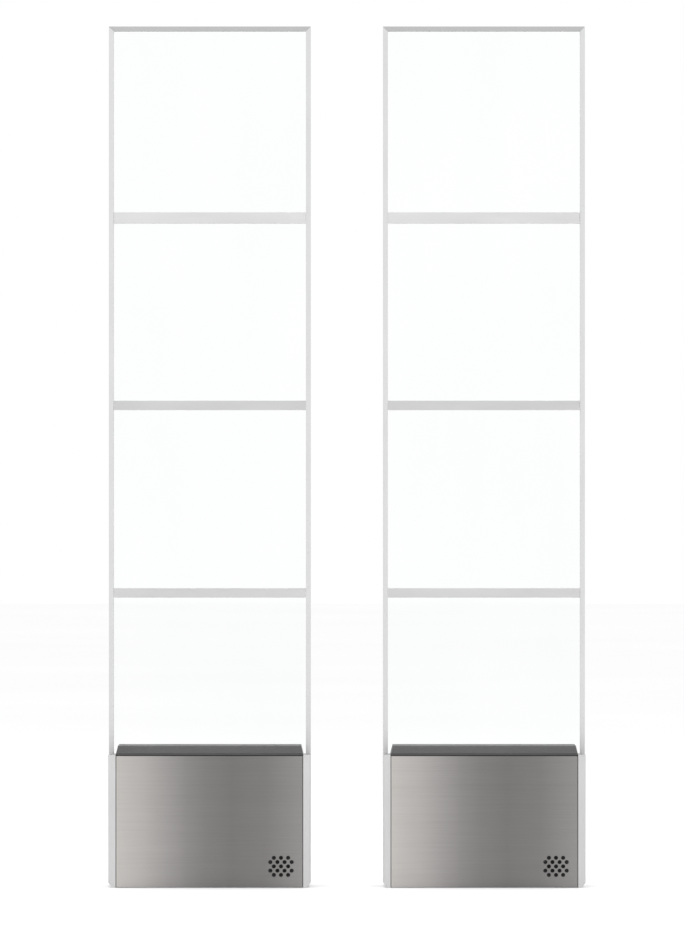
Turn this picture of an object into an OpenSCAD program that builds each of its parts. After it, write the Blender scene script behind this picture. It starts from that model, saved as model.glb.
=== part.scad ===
// Security gate: two identical clear pedestals on steel floor bases, one antenna in each.
// X runs along the gate, -Y is the front (speaker side), +Z is up, and the floor is z = 0.
// The origin lies on the floor, midway between the two pedestals.

/* [Pedestals] */
// Height of a pedestal above the floor
pedestal_h = 1550; // [1250:5:1900]
// Width of a pedestal
pedestal_w = 364; // [330:2:460]
// Distance between the centres of the two pedestals
pedestal_pitch = 494; // [480:2:1400]

/* [Base] */
// Height of the covers and end caps
base_h = 238; // [220:1:300]
// Depth of the base from front to back
base_depth = 112; // [108:1:160]
// Width of one end cap
cap_w = 13.5; // [12:0.5:20]
// Wall thickness of an end cap
cap_wall = 2; // [1.5:0.1:2.5]
// Chamfer at the lower outer corner of an end cap
cap_chamfer = 9; // [3:0.5:11]
// Corner radius of an end cap, seen from above
cap_round = 4; // [1:0.5:6]
// Sheet thickness of the covers
cover_t = 1.5; // [0.8:0.1:2]
// Depth of the folds along a cover's edges
cover_fold = 10; // [5:0.5:11]
// Gap between a cover and the floor
floor_gap = 1; // [0.5:0.1:3]
// Thickness of the floor plate
plate_t = 5; // [3:0.5:8]

/* [Top trims of the base] */
// Height of a top trim
trim_h = 17; // [10:0.5:25]
// Height of a top trim's upright front edge
trim_edge_h = 4; // [2:0.5:8]
// How far the front of a top trim slopes back
trim_slope = 12; // [4:1:20]
// How far each end of a top trim leans in
trim_lean = 4; // [0:0.5:8]
// Wall thickness of a top trim
trim_wall = 3; // [2:0.5:4]

/* [Panel] */
// Thickness of the clear sheet
panel_t = 10; // [6:0.5:12]
// Visible width of the edge channels
edge_w = 8.8; // [7:0.1:14]
// Thickness of an edge channel's web and lips
edge_wall = 2; // [1.5:0.1:2.5]
// Height of the lower crossbar's centre above the floor
lower_bar_z = 529; // [420:1:560]
// Distance between the centres of two crossbars
bar_pitch = 338; // [280:1:400]
// Height of the upper crossbar
upper_bar_h = 20.5; // [10:0.5:30]
// Height of the middle and lower crossbars
bar_h = 17; // [10:0.5:30]

/* [Antenna] */
// Thickness of the flat antenna conductor
loop_t = 1.2; // [0.6:0.1:2]
// Width of the flat antenna conductor
loop_w = 6; // [3:0.5:6]
// Diameter of the leads inside the base
lead_d = 3; // [2:0.1:5]

/* [Clamp] */
// Length of a clamp channel
channel_w = 230; // [220:2:236]
// Sheet thickness of a clamp channel
channel_t = 3; // [2:0.5:4]
// Depth of a clamp channel's flanges
channel_flange = 32; // [30:0.5:33]
// Thickness of a clamp gasket
gasket_t = 1.5; // [1:0.1:3]
// Diameter of the clamp bolts
bolt_d = 8; // [6:1:8]
// Distance between the clamp bolts along the channel
bolt_spacing = 180; // [176:1:190]
// Height of the lower clamp bolts above the floor
bolt_low_z = 45; // [40:1:50]
// Distance of the upper clamp bolts below the top of the base
bolt_drop = 22; // [20:1:26]

/* [Floor fixing] */
// Distance between the anchor holes along the gate
anchor_spacing_x = 268; // [264:1:272]
// Distance between the anchor holes from front to back
anchor_spacing_y = 60; // [50:1:64]
// Diameter of the anchor holes
anchor_d = 11; // [8:0.5:13]
// Diameter of the cable that the grommet takes
cable_d = 12; // [8:0.5:14]

/* [Speaker] */
// Distance of the speaker's centre from the end of its cover
speaker_inset = 39.9; // [32:0.1:60]
// Height of the speaker's centre above the floor
speaker_z = 38.5; // [37:0.5:60]
// Side of the speaker's square flange
speaker_w = 56; // [52:1:60]
// Diameter of a grille hole
grille_d = 7; // [4:0.1:7]
// Distance between grille holes along a row
grille_pitch = 12.8; // [10:0.1:13]
// Distance between the rows of grille holes
grille_row = 7.7; // [7.2:0.1:8]

/* [Electronics] */
// Width of the circuit board
board_w = 150; // [140:1:154]
// Height of the circuit board
board_h = 126; // [120:1:128]
// Thickness of the circuit board
board_t = 1.6; // [1:0.1:2.4]
// Length of the posts that carry the board
post_l = 12; // [10:0.5:14]
// Travel of the test button
button_travel = 1.5; // [0.5:0.1:1.8]
// Tilt of the power rocker to each side
rocker_tilt = 8; // [4:1:10]

/* [Clearances] */
// Gap round a cover, so that it slides out freely
cover_gap = 0.3; // [0.2:0.05:0.6]
// Gap between pieces that are fitted into each other
fit_gap = 0.2; // [0.1:0.05:0.3]
// Radial clearance of shafts, pins and screws in their holes
shaft_gap = 0.05; // [0.02:0.01:0.08]
// Radial clearance of the clamp bolts in their holes
bolt_gap = 0.5; // [0.3:0.1:1]

/* [Hidden] */
$fn = 48;
SIDES = ["a", "b"];
PIECES = [
    "base_plate", "cable_grommet", "acrylic_panel", "top_edge_trim", "left_edge_trim",
    "right_edge_trim", "upper_crossbar", "middle_crossbar", "lower_crossbar", "antenna_loop",
    "front_clamp_bracket", "rear_clamp_bracket", "front_cover", "rear_cover", "left_end_cap",
    "right_end_cap", "front_top_trim", "rear_top_trim", "speaker_frame", "speaker_cone",
    "circuit_board", "heat_sink", "transformer", "terminal_block", "power_switch",
    "power_rocker", "volume_dial", "test_button"
];
SHARED = ["clamp_fasteners", "clamp_gaskets", "frame_screws", "internal_wiring"];

cut = 1;
// How far a part runs into the one that carries it
sink = 0.2;
half_w = pedestal_w / 2;
half_depth = base_depth / 2;
cover_half = half_w - cap_w;

// Sheet, edge channels and loop, one inside the other
loop_room = loop_t + 2 * fit_gap;
panel_half = half_w - edge_wall - loop_room;
panel_top = pedestal_h - edge_wall - loop_room;
channel_half_t = panel_t / 2 + fit_gap;
edge_half_t = channel_half_t + edge_wall;
shoulder_drop = 12;
tongue_in = 22;
shoulder_z = base_h - shoulder_drop;
tongue_half = cover_half - tongue_in;
bar_half = half_w - edge_w - fit_gap;
middle_bar_z = lower_bar_z + bar_pitch;
upper_bar_z = middle_bar_z + bar_pitch;

// Clamp: front faces of gasket and channel, counted from the middle of the sheet
gasket_y = panel_t / 2 + gasket_t;
web_y = gasket_y + channel_t;
flange_y = web_y + channel_flange;
gasket_low_z = 30;
gasket_high_z = base_h - 10;
bolt_high_z = base_h - bolt_drop;
bolt_head_h = 4.4;
bolt_spare_l = 2;
washer_t = 1.6;
nut_h = 6.5;
nut_across = 1.875 * bolt_d;
notch_half = 20;

// Screws of channels, end caps and top trims, all one size, and of the board
screw_d = 5;
screw_head_d = 9.5;
screw_head_h = 3.2;
screw_l = channel_t + plate_t - 0.5;
board_screw_d = 3;
board_screw_l = 8;
post_bore_floor = 2;
foot_screws_x = [-95, -45, 45, 95];
trim_screws_x = [-90, 90];
screw_y = web_y + 20;
boss_d = 12;

// Floor plate
plate_half_x = cover_half - 3.5;
plate_half_y = half_depth - 4;
tab_inner_x = cover_half - 18.5;
tab_screw_x = cover_half - 11;
tab_w = 20;
tab_t = channel_t;
cable_y = 30;
grommet_d = cable_d + 10;
grommet_flange_d = grommet_d + 6;
grommet_h = plate_t + 3;

// Wires
wire_d = 4;
bend_swell = 1.06;
switched_y = web_y + 14;
supply_y = switched_y - 5;
board_supply_y = switched_y + 4;
tap_drop = 10;
switched_in = 22;
pass_d = 14;
pass_x = 75;
pass_z = 118;
lead_z = base_h - 24;
lead_turn_x = tongue_half + 8;

// Board and what is on it; heights are counted from the top of the board
board_x = -27;
board_top = base_h - 36;
board_back_y = -web_y - post_l;
board_y = board_back_y - board_t;
board_left = board_x - board_w / 2;
board_right = board_x + board_w / 2;
hole_in = 6;
lead_block = [12, 9, 10];
lead_y = board_y - lead_block[1] / 2;
lead_in = 24;
plug_block = [8, 12, 16];
controls_x = board_right - 16;
dial_z = board_top - 68;
pot = [12, 6, 12];
dial_shaft_d = 3;
dial_d = 15;
dial_h = 8;
dial_lift = 0.5;
dial_bore_floor = 1;
pointer_w = 1.2;
pointer_t = 1;
grip_d = 2.4;
grip_turn = 30;
button_z = board_top - 96;
button_body = [12, 5, 12];
button_d = 6;
button_cap_d = 10;
button_cap_h = 3;
capacitor_d = 12;
capacitor_h = 20;
capacitor_x = board_x - 8;
capacitor_drop = 30;
capacitor_pitch = 24;
capacitors = 3;
main_chip = [22, 3, 22];
main_chip_x = board_x + 22;
main_chip_z = board_top - 34;
small_chip = [14, 2.5, 10];
small_chip_x = board_x + 18;
small_chip_z = board_top - 72;
sink_w = 44;
sink_h = 56;
sink_x = board_left + 8;
sink_z = board_top - board_h + 22;
sink_base = 4;
fin_h = 16;
fin_t = 1.8;
fins = 7;

// Power parts on the rear channel
core = [60, 20, 50];
coil = [30, 28, 36];
core_x = -50;
core_z = 118;
core_foot_t = 1.5;
core_foot_l = 10;
core_foot_half = 20;
core_foot_hole_in = 4;
core_foot_hole_d = 4;
core_lift = 4;
coil_lift = 1;
block = [48, 14, 12];
block_x = 40;
block_z = 84;
poles = 4;
pole_bore_d = 5;
pole_bore_l = 4;
switch_size = [28, 21.5, 22];
switch_x = 32;
switch_z = 160;
switch_wall = 3;
switch_depth = 10;
rocker_axis_in = 3.5;
rocker_half = 7;
axle_d = 3;
axle_l = 1.2;

// Speaker on the front cover
speaker_x = cover_half - speaker_inset;
cover_in_y = -half_depth + cover_t;
cone_r = 24.5;
magnet_r = 16;
speaker_flange_t = 2;
basket_depth = 10;
magnet_h = 7;
stud_d = 3;
stud_in = 4.5;
stud_head_d = 5.4;
stud_head_h = 1;

module at(side) {
    translate([(side == "a" ? -0.5 : 0.5) * pedestal_pitch, 0, 0]) children();
}

// Turns a shape that stands on the floor so that its top points to the front
module facing_front() {
    rotate([90, 0, 0]) children();
}

// A box with its lower corner and size given by its extents
module box(x, y, z) {
    translate([x[0], y[0], z[0]]) cube([x[1] - x[0], y[1] - y[0], z[1] - z[0]]);
}

// A box centred on (x, z) whose back lies on the plane y, grown towards the front
module block_on_front(x, y, z, size) {
    half = size / 2;
    box([x - half[0], x + half[0]], [y - size[1], y + sink], [z - half[2], z + half[2]]);
}

// A box centred on (x, z) whose front lies on the plane y
module block_on_rear(x, y, z, size) {
    half = size / 2;
    box([x - half[0], x + half[0]], [y, y + size[1]], [z - half[2], z + half[2]]);
}

// An outline in X and Z, given the thickness from y0 to y1
module plate_xz(points, y0, y1) {
    translate([0, y1, 0]) facing_front() linear_extrude(y1 - y0) polygon(points);
}

// An outline in Y and Z, given the length from x0 to x1
module bar_yz(points, x0, x1) {
    translate([x0, 0, 0]) rotate([90, 0, 90]) linear_extrude(x1 - x0) polygon(points);
}

module straight(from, to, d) {
    run = to - from;
    length = norm(run);
    translate(from) rotate([0, acos(run[2] / length), atan2(run[1], run[0])]) cylinder(d = d, h = length);
}

// A round wire through the points, with a slightly swollen bend at each corner
module wire(points, d) {
    for (i = [0 : len(points) - 2]) straight(points[i], points[i + 1], d);
    for (i = [1 : len(points) - 2]) translate(points[i]) sphere(d = d * bend_swell);
}

module pan_screw(d, l, head_d, head_h) {
    cylinder(d = head_d, h = head_h);
    translate([0, 0, -l]) cylinder(d = d, h = l);
}

// ---- Base ----

module anchor_holes() {
    for (x = [-1, 1], y = [-1, 1]) {
        translate([x * anchor_spacing_x / 2, y * anchor_spacing_y / 2, -cut])
            cylinder(d = anchor_d, h = plate_t + 2 * cut);
    }
}

// Places of the upright screws that go down into the floor plate
module at_plate_screws() {
    for (y = [-screw_y, screw_y]) {
        for (x = foot_screws_x) translate([x, y, plate_t + channel_t]) children();
        for (x = [-tab_screw_x, tab_screw_x]) translate([x, y, plate_t + tab_t]) children();
    }
}

module base_plate() {
    color("dimgray") difference() {
        box([-plate_half_x, plate_half_x], [-plate_half_y, plate_half_y], [0, plate_t]);
        anchor_holes();
        translate([0, cable_y, -cut]) cylinder(d = grommet_d + 2 * fit_gap, h = plate_t + 2 * cut);
        at_plate_screws() translate([0, 0, -screw_l]) {
            cylinder(d = screw_d + 2 * shaft_gap, h = 2 * screw_l);
        }
    }
}

module cable_grommet() {
    color([0.1, 0.1, 0.1]) translate([0, cable_y, 0]) difference() {
        union() {
            cylinder(d = grommet_d, h = plate_t + sink);
            translate([0, 0, plate_t]) cylinder(d = grommet_flange_d, h = grommet_h - plate_t);
        }
        translate([0, 0, -cut]) cylinder(d = cable_d, h = grommet_h + 2 * cut);
    }
}

// Outline of the right end cap from the front, drawn in by the wall for its hollow
function cap_outline(inset, inner_x) = [
    [inner_x, inset],
    [half_w - cap_chamfer - inset * (sqrt(2) - 1), inset],
    [half_w - inset, cap_chamfer + inset * (sqrt(2) - 1)],
    [half_w - inset, base_h - inset],
    [inner_x, base_h - inset]
];

// The end cap seen from above, with its two outer corners rounded
module cap_plan() {
    for (y = [-1, 1]) {
        translate([half_w - cap_round, y * (half_depth - cap_round)]) circle(cap_round);
    }
    translate([cover_half, -half_depth]) square([cap_w - cap_round, base_depth]);
    translate([cover_half, -half_depth + cap_round]) square([cap_w, base_depth - 2 * cap_round]);
}

module cap_tabs() {
    tab_outer_x = half_w - cap_wall / 2 - max(0, cap_chamfer - plate_t);
    for (y = [-1, 1]) translate([0, y * screw_y, 0]) difference() {
        box([tab_inner_x, tab_outer_x], [-tab_w / 2, tab_w / 2], [plate_t, plate_t + tab_t]);
        translate([tab_screw_x, 0, 0]) {
            cylinder(d = screw_d + 2 * shaft_gap, h = plate_t + tab_t + cut);
        }
    }
}

module right_end_cap() {
    slot_half = channel_half_t;
    hollow_half = half_depth - cap_wall;
    slot_x = [cover_half - cut, half_w - edge_wall];
    color([0.8, 0.81, 0.82]) {
        difference() {
            intersection() {
                plate_xz(cap_outline(0, cover_half), -half_depth, half_depth);
                linear_extrude(base_h) cap_plan();
            }
            plate_xz(cap_outline(cap_wall, cover_half - cut), -hollow_half, hollow_half);
            box(slot_x, [-slot_half, slot_half], [shoulder_z, base_h + cut]);
        }
        cap_tabs();
    }
}

module left_end_cap() {
    mirror([1, 0, 0]) right_end_cap();
}

module clamp_bolt_places() {
    for (x = [-1, 1], z = [bolt_low_z, bolt_high_z]) {
        translate([x * bolt_spacing / 2, 0, z]) children();
    }
}

// Holes along Y for the clamp bolts and for the wires, through the whole clamp
module clamp_holes() {
    reach = flange_y;
    clamp_bolt_places() translate([0, reach, 0]) facing_front() {
        cylinder(d = bolt_d + 2 * bolt_gap, h = 2 * reach);
    }
    translate([pass_x, reach, pass_z]) facing_front() cylinder(d = pass_d, h = 2 * reach);
}

module clamp_channel() {
    half = channel_w / 2;
    difference() {
        union() {
            box([-half, half], [-web_y, -gasket_y], [plate_t, base_h]);
            box([-half, half], [-flange_y, -gasket_y], [plate_t, plate_t + channel_t]);
            box([-half, half], [-flange_y, -gasket_y], [base_h - channel_t, base_h]);
        }
        box([-notch_half, notch_half], [-flange_y - cut, -web_y], [0, plate_t + channel_t + cut]);
        clamp_holes();
        for (x = foot_screws_x) {
            translate([x, -screw_y, 0])
                cylinder(d = screw_d + 2 * shaft_gap, h = plate_t + channel_t + cut);
        }
        for (x = trim_screws_x) {
            translate([x, -screw_y, base_h - channel_t - cut])
                cylinder(d = screw_d + 2 * shaft_gap, h = channel_t + 2 * cut);
        }
    }
}

// The four corners of the circuit board where its posts and screws are
module at_board_corners() {
    board_low = board_top - board_h;
    for (x = [board_left + hole_in, board_right - hole_in]) {
        for (z = [board_low + hole_in, board_top - hole_in]) translate([x, 0, z]) children();
    }
}

module front_clamp_bracket() {
    color("lightsteelblue") {
        clamp_channel();
        at_board_corners() translate([0, -web_y + sink, 0]) facing_front() difference() {
            cylinder(d = 2 * board_screw_d, h = post_l + sink);
            translate([0, 0, post_bore_floor]) cylinder(d = board_screw_d + 2 * shaft_gap, h = post_l);
        }
    }
}

module rear_clamp_bracket() {
    color("lightsteelblue") mirror([0, 1, 0]) clamp_channel();
}

module clamp_gaskets() {
    color([0.15, 0.15, 0.15]) difference() {
        for (y = [-gasket_y, panel_t / 2]) {
            box([-channel_w / 2, channel_w / 2], [y, y + gasket_t], [gasket_low_z, gasket_high_z]);
        }
        clamp_holes();
    }
}

module clamp_bolt() {
    facing_front() {
        cylinder(d = 1.75 * bolt_d, h = bolt_head_h);
        shank_l = 2 * web_y + washer_t + nut_h + bolt_spare_l;
        translate([0, 0, -shank_l]) cylinder(d = bolt_d, h = shank_l);
    }
}

module clamp_washer() {
    facing_front() difference() {
        cylinder(d = 2 * bolt_d, h = washer_t);
        translate([0, 0, -cut]) cylinder(d = bolt_d + 4 * shaft_gap, h = washer_t + 2 * cut);
    }
}

module clamp_nut() {
    facing_front() difference() {
        cylinder(d = nut_across, h = nut_h, $fn = 6);
        translate([0, 0, -cut]) cylinder(d = bolt_d + 2 * shaft_gap, h = nut_h + 2 * cut);
    }
}

module clamp_fasteners() {
    color("silver") clamp_bolt_places() {
        translate([0, -web_y, 0]) clamp_bolt();
        translate([0, web_y + washer_t, 0]) clamp_washer();
        translate([0, web_y + washer_t + shaft_gap + nut_h, 0]) clamp_nut();
    }
}

module frame_screws() {
    color("silver") {
        at_plate_screws() pan_screw(screw_d, screw_l, screw_head_d, screw_head_h);
        for (x = trim_screws_x, y = [-1, 1]) translate([x, y * screw_y, base_h - channel_t]) {
            mirror([0, 0, 1]) pan_screw(screw_d, screw_l, screw_head_d, screw_head_h);
        }
        at_board_corners() translate([0, board_y, 0]) facing_front() {
            pan_screw(board_screw_d, board_screw_l, 1.8 * board_screw_d, 0.7 * board_screw_d);
        }
    }
}

// ---- Covers and top trims ----

// A folded sheet, open at the back and along the floor
module cover_shell() {
    half = cover_half - cover_gap;
    top = base_h - cover_gap;
    inner = half - cover_t;
    difference() {
        box([-half, half], [-half_depth, -half_depth + cover_fold], [floor_gap, top]);
        box([-inner, inner], [cover_in_y, half_depth], [floor_gap - cut, top - cover_t]);
    }
}

// Round holes in rows of three and four by turns, centred on the origin of X and Z
module grille_holes() {
    for (row = [-2 : 2]) {
        across = row % 2 == 0 ? 3 : 4;
        for (i = [0 : across - 1]) {
            translate([(i - (across - 1) / 2) * grille_pitch, 0, row * grille_row])
                facing_front() cylinder(d = grille_d, h = 4 * cover_t, center = true);
        }
    }
}

// The four corners of the speaker's flange
module at_speaker_studs() {
    off = speaker_w / 2 - stud_in;
    for (x = [-off, off], z = [-off, off]) translate([x, cover_in_y, z]) children();
}

module front_cover() {
    color([0.62, 0.61, 0.6]) {
        difference() {
            cover_shell();
            translate([speaker_x, -half_depth, speaker_z]) grille_holes();
        }
        stud_l = speaker_flange_t + shaft_gap;
        translate([speaker_x, 0, speaker_z]) at_speaker_studs() mirror([0, 1, 0]) facing_front() {
            translate([0, 0, -sink]) cylinder(d = stud_d, h = stud_l + 2 * sink);
            translate([0, 0, stud_l]) cylinder(d = stud_head_d, h = stud_head_h);
        }
    }
}

module rear_cover() {
    color([0.62, 0.61, 0.6]) mirror([0, 1, 0]) cover_shell();
}

module front_top_trim() {
    top = base_h + trim_h;
    back = -channel_half_t;
    front = -half_depth;
    top_half = cover_half - trim_lean;
    profile = [
        [front, base_h], [back, base_h], [back, top],
        [front + trim_slope, top], [front, base_h + trim_edge_h]
    ];
    face = [[-cover_half, base_h], [cover_half, base_h], [top_half, top], [-top_half, top]];
    hollow_half = top_half - 2 * trim_wall;
    hollow_y = [front + trim_slope + trim_wall, back - trim_wall];
    color([0.2, 0.2, 0.22]) difference() {
        intersection() {
            bar_yz(profile, -cover_half, cover_half);
            plate_xz(face, front, back);
        }
        difference() {
            box([-hollow_half, hollow_half], hollow_y, [base_h - cut, top - trim_wall]);
            for (x = trim_screws_x) translate([x, -screw_y, 0]) cylinder(d = boss_d, h = top);
        }
        for (x = trim_screws_x) translate([x, -screw_y, base_h - cut]) {
            cylinder(d = screw_d + 2 * shaft_gap, h = screw_l - channel_t + 2 * cut);
        }
    }
}

module rear_top_trim() {
    mirror([0, 1, 0]) front_top_trim();
}

// ---- Sheet, edge channels, crossbars and loop ----

module acrylic_panel() {
    outline = [
        [-tongue_half, plate_t], [tongue_half, plate_t],
        [tongue_half, shoulder_z], [panel_half, shoulder_z],
        [panel_half, panel_top], [-panel_half, panel_top],
        [-panel_half, shoulder_z], [-tongue_half, shoulder_z]
    ];
    color([0.8, 0.9, 0.92, 0.35]) difference() {
        plate_xz(outline, -panel_t / 2, panel_t / 2);
        clamp_holes();
    }
}

module right_edge_trim() {
    outline = [
        [half_w - edge_w, base_h], [half_w, base_h],
        [half_w, pedestal_h], [half_w - edge_w, pedestal_h - edge_w]
    ];
    color([0.85, 0.86, 0.87]) difference() {
        plate_xz(outline, -edge_half_t, edge_half_t);
        box(
            [half_w - edge_w - cut, half_w - edge_wall], [-channel_half_t, channel_half_t],
            [base_h - cut, pedestal_h]
        );
    }
}

module left_edge_trim() {
    mirror([1, 0, 0]) right_edge_trim();
}

module top_edge_trim() {
    outline = [
        [-half_w, pedestal_h], [-half_w + edge_w, pedestal_h - edge_w],
        [half_w - edge_w, pedestal_h - edge_w], [half_w, pedestal_h]
    ];
    color([0.76, 0.77, 0.78]) difference() {
        plate_xz(outline, -edge_half_t, edge_half_t);
        box(
            [-half_w, half_w], [-channel_half_t, channel_half_t],
            [pedestal_h - edge_w - cut, pedestal_h - edge_wall]
        );
    }
}

// A pair of flat bars, one bonded to each face of the sheet
module crossbar(z, h) {
    color([0.85, 0.86, 0.88, 0.8]) for (y = [-edge_half_t, panel_t / 2]) {
        box([-bar_half, bar_half], [y, y + edge_half_t - panel_t / 2], [z - h / 2, z + h / 2]);
    }
}

module antenna_loop() {
    outer_x = half_w - edge_wall - fit_gap;
    outer_z = pedestal_h - edge_wall - fit_gap;
    mid_x = outer_x - loop_t / 2;
    color([0.72, 0.45, 0.2]) {
        box([-outer_x, outer_x], [-loop_w / 2, loop_w / 2], [outer_z - loop_t, outer_z]);
        for (side = [-1, 1]) {
            end_x = side < 0 ? board_left + lead_in : board_right - lead_in;
            translate([side * mid_x, 0, lead_z - lead_d]) {
                box([-loop_t / 2, loop_t / 2], [-loop_w / 2, loop_w / 2], [0, outer_z - lead_z + lead_d]);
            }
            turn_x = side * lead_turn_x;
            wire([
                [side * mid_x, 0, lead_z], [turn_x, 0, lead_z], [turn_x, lead_y, lead_z],
                [end_x, lead_y, lead_z], [end_x, lead_y, board_top]
            ], lead_d);
        }
    }
}

// ---- Speaker ----

// Half section of the basket and magnet: radius, and depth behind the flange's front
module speaker_section() {
    rim = cone_r + 1.5;
    flange = speaker_flange_t;
    back = basket_depth;
    polygon([
        [cone_r, 0], [rim, 0], [rim, flange], [magnet_r, back], [magnet_r, back + magnet_h],
        [0, back + magnet_h], [0, back - 1], [magnet_r - 2, back - 1], [cone_r, flange]
    ]);
}

module speaker_frame() {
    flange_half = speaker_w / 2;
    hole_off = flange_half - stud_in;
    color([0.25, 0.25, 0.27]) translate([speaker_x, cover_in_y, speaker_z]) rotate([-90, 0, 0]) {
        difference() {
            box([-flange_half, flange_half], [-flange_half, flange_half], [0, speaker_flange_t]);
            translate([0, 0, -cut]) cylinder(r = cone_r, h = speaker_flange_t + 2 * cut);
            for (x = [-hole_off, hole_off], y = [-hole_off, hole_off]) {
                translate([x, y, -cut])
                    cylinder(d = stud_d + 2 * shaft_gap, h = speaker_flange_t + 2 * cut);
            }
        }
        rotate_extrude() speaker_section();
    }
}

// A shallow paper cone with a dust cap in its middle, the same thickness all over
module speaker_cone() {
    edge_r = cone_r - fit_gap;
    cap_r = 9;
    paper_t = 0.6;
    front_side = [[edge_r, 0.6], [edge_r - 2, 0.6], [cap_r, 7], [0, 5]];
    back_side = [for (i = [3 : -1 : 0]) front_side[i] + [0, paper_t]];
    color([0.12, 0.12, 0.12]) translate([speaker_x, cover_in_y, speaker_z]) rotate([-90, 0, 0]) {
        rotate_extrude() polygon(concat(front_side, back_side));
    }
}

// ---- Electronics ----

module board_parts() {
    dial_bore_l = pot[1] - dial_bore_floor;
    block_on_front(board_left + lead_in, board_y, board_top - lead_block[2] / 2, lead_block);
    block_on_front(board_right - lead_in, board_y, board_top - lead_block[2] / 2, lead_block);
    block_on_front(board_right - plug_block[0] / 2, board_y, pass_z, plug_block);
    for (i = [0 : capacitors - 1]) {
        z = board_top - capacitor_drop - capacitor_pitch * i;
        translate([capacitor_x, board_y + sink, z]) facing_front() {
            cylinder(d = capacitor_d, h = capacitor_h + sink);
        }
    }
    block_on_front(main_chip_x, board_y, main_chip_z, main_chip);
    block_on_front(small_chip_x, board_y, small_chip_z, small_chip);
    difference() {
        block_on_front(controls_x, board_y, dial_z, pot);
        translate([controls_x, board_y - pot[1] + dial_bore_l, dial_z]) facing_front() {
            cylinder(d = dial_shaft_d + 2 * shaft_gap, h = dial_bore_l + cut);
        }
    }
    difference() {
        block_on_front(controls_x, board_y, button_z, button_body);
        translate([controls_x, board_y - sink, button_z]) facing_front() {
            cylinder(d = button_d + 2 * shaft_gap, h = button_body[1] + cut);
        }
    }
}

module circuit_board() {
    color([0.1, 0.4, 0.2]) {
        difference() {
            box(
                [board_left, board_right], [board_y, board_back_y],
                [board_top - board_h, board_top]
            );
            at_board_corners() translate([0, board_back_y + cut, 0]) facing_front() {
                cylinder(d = board_screw_d + 2 * shaft_gap, h = board_t + 2 * cut);
            }
        }
        board_parts();
    }
}

module heat_sink() {
    step = (sink_w - fin_t) / (fins - 1);
    base_y = board_y - sink_base;
    heights = [sink_z, sink_z + sink_h];
    color([0.75, 0.76, 0.78]) {
        box([sink_x, sink_x + sink_w], [base_y, board_y], heights);
        for (i = [0 : fins - 1]) {
            x = sink_x + i * step;
            box([x, x + fin_t], [base_y - fin_h, board_y - 1], heights);
        }
    }
}

module volume_dial() {
    face_y = board_y - pot[1];
    shaft_l = pot[1] - dial_bore_floor - fit_gap;
    pointer_lift = dial_lift + dial_h - pointer_t;
    color([0.9, 0.9, 0.88]) translate([controls_x, face_y, dial_z]) facing_front() difference() {
        union() {
            translate([0, 0, -shaft_l]) cylinder(d = dial_shaft_d, h = shaft_l + dial_lift + cut);
            translate([0, 0, dial_lift]) cylinder(d = dial_d, h = dial_h);
        }
        translate([-pointer_w / 2, 1, pointer_lift]) cube([pointer_w, dial_d, 2 * pointer_t]);
        for (turn = [0 : grip_turn : 360 - grip_turn]) rotate(turn) {
            translate([dial_d / 2 + 0.5, 0, dial_lift - cut])
                cylinder(d = grip_d, h = dial_h + 2 * cut, $fn = 24);
        }
    }
}

module test_button() {
    inner_y = board_y - sink - button_travel - fit_gap;
    outer_y = board_y - button_body[1] - button_travel - fit_gap;
    color([0.75, 0.1, 0.1]) translate([controls_x, 0, button_z]) {
        translate([0, inner_y, 0]) facing_front() cylinder(d = button_d, h = inner_y - outer_y + cut);
        translate([0, outer_y, 0]) facing_front() cylinder(d = button_cap_d, h = button_cap_h);
    }
}

module transformer() {
    foot_half = core[0] / 2 + core_foot_l;
    foot = [2 * foot_half, core_foot_t, 2 * core_foot_half];
    color([0.35, 0.35, 0.37]) difference() {
        union() {
            block_on_rear(core_x, web_y, core_z, foot);
            block_on_rear(core_x, web_y + core_lift, core_z, core);
            block_on_rear(core_x, web_y + coil_lift, core_z, coil);
        }
        for (x = [-1, 1]) {
            translate([core_x + x * (foot_half - core_foot_hole_in), web_y + core_lift, core_z])
                facing_front() cylinder(d = core_foot_hole_d, h = 2 * channel_t);
        }
    }
}

module terminal_block() {
    step = block[0] / poles;
    left = block_x - block[0] / 2;
    face_y = web_y + block[1];
    middle_z = block_z + block[2] / 2;
    color([0.9, 0.9, 0.85]) difference() {
        block_on_rear(block_x, web_y, middle_z, block);
        for (i = [0 : poles - 1]) {
            translate([left + (i + 0.5) * step, face_y + cut, middle_z]) facing_front() {
                cylinder(d = pole_bore_d, h = pole_bore_l + cut);
            }
        }
    }
}

module power_switch() {
    half = [switch_size[0] / 2, switch_size[2] / 2];
    face_y = web_y + switch_size[1];
    axle_room = switch_size[0] - 2 * switch_wall + 2 * axle_l;
    color([0.12, 0.12, 0.13]) translate([switch_x, 0, switch_z]) difference() {
        box([-half[0], half[0]], [web_y, face_y], [-half[1], half[1]]);
        box(
            [-half[0] + switch_wall, half[0] - switch_wall], [face_y - switch_depth, face_y + cut],
            [-half[1] + switch_wall, half[1] - switch_wall]
        );
        translate([0, face_y - rocker_axis_in, 0]) rotate([0, 90, 0]) {
            cylinder(d = axle_d + 2 * shaft_gap, h = axle_room, center = true);
        }
    }
}

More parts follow.
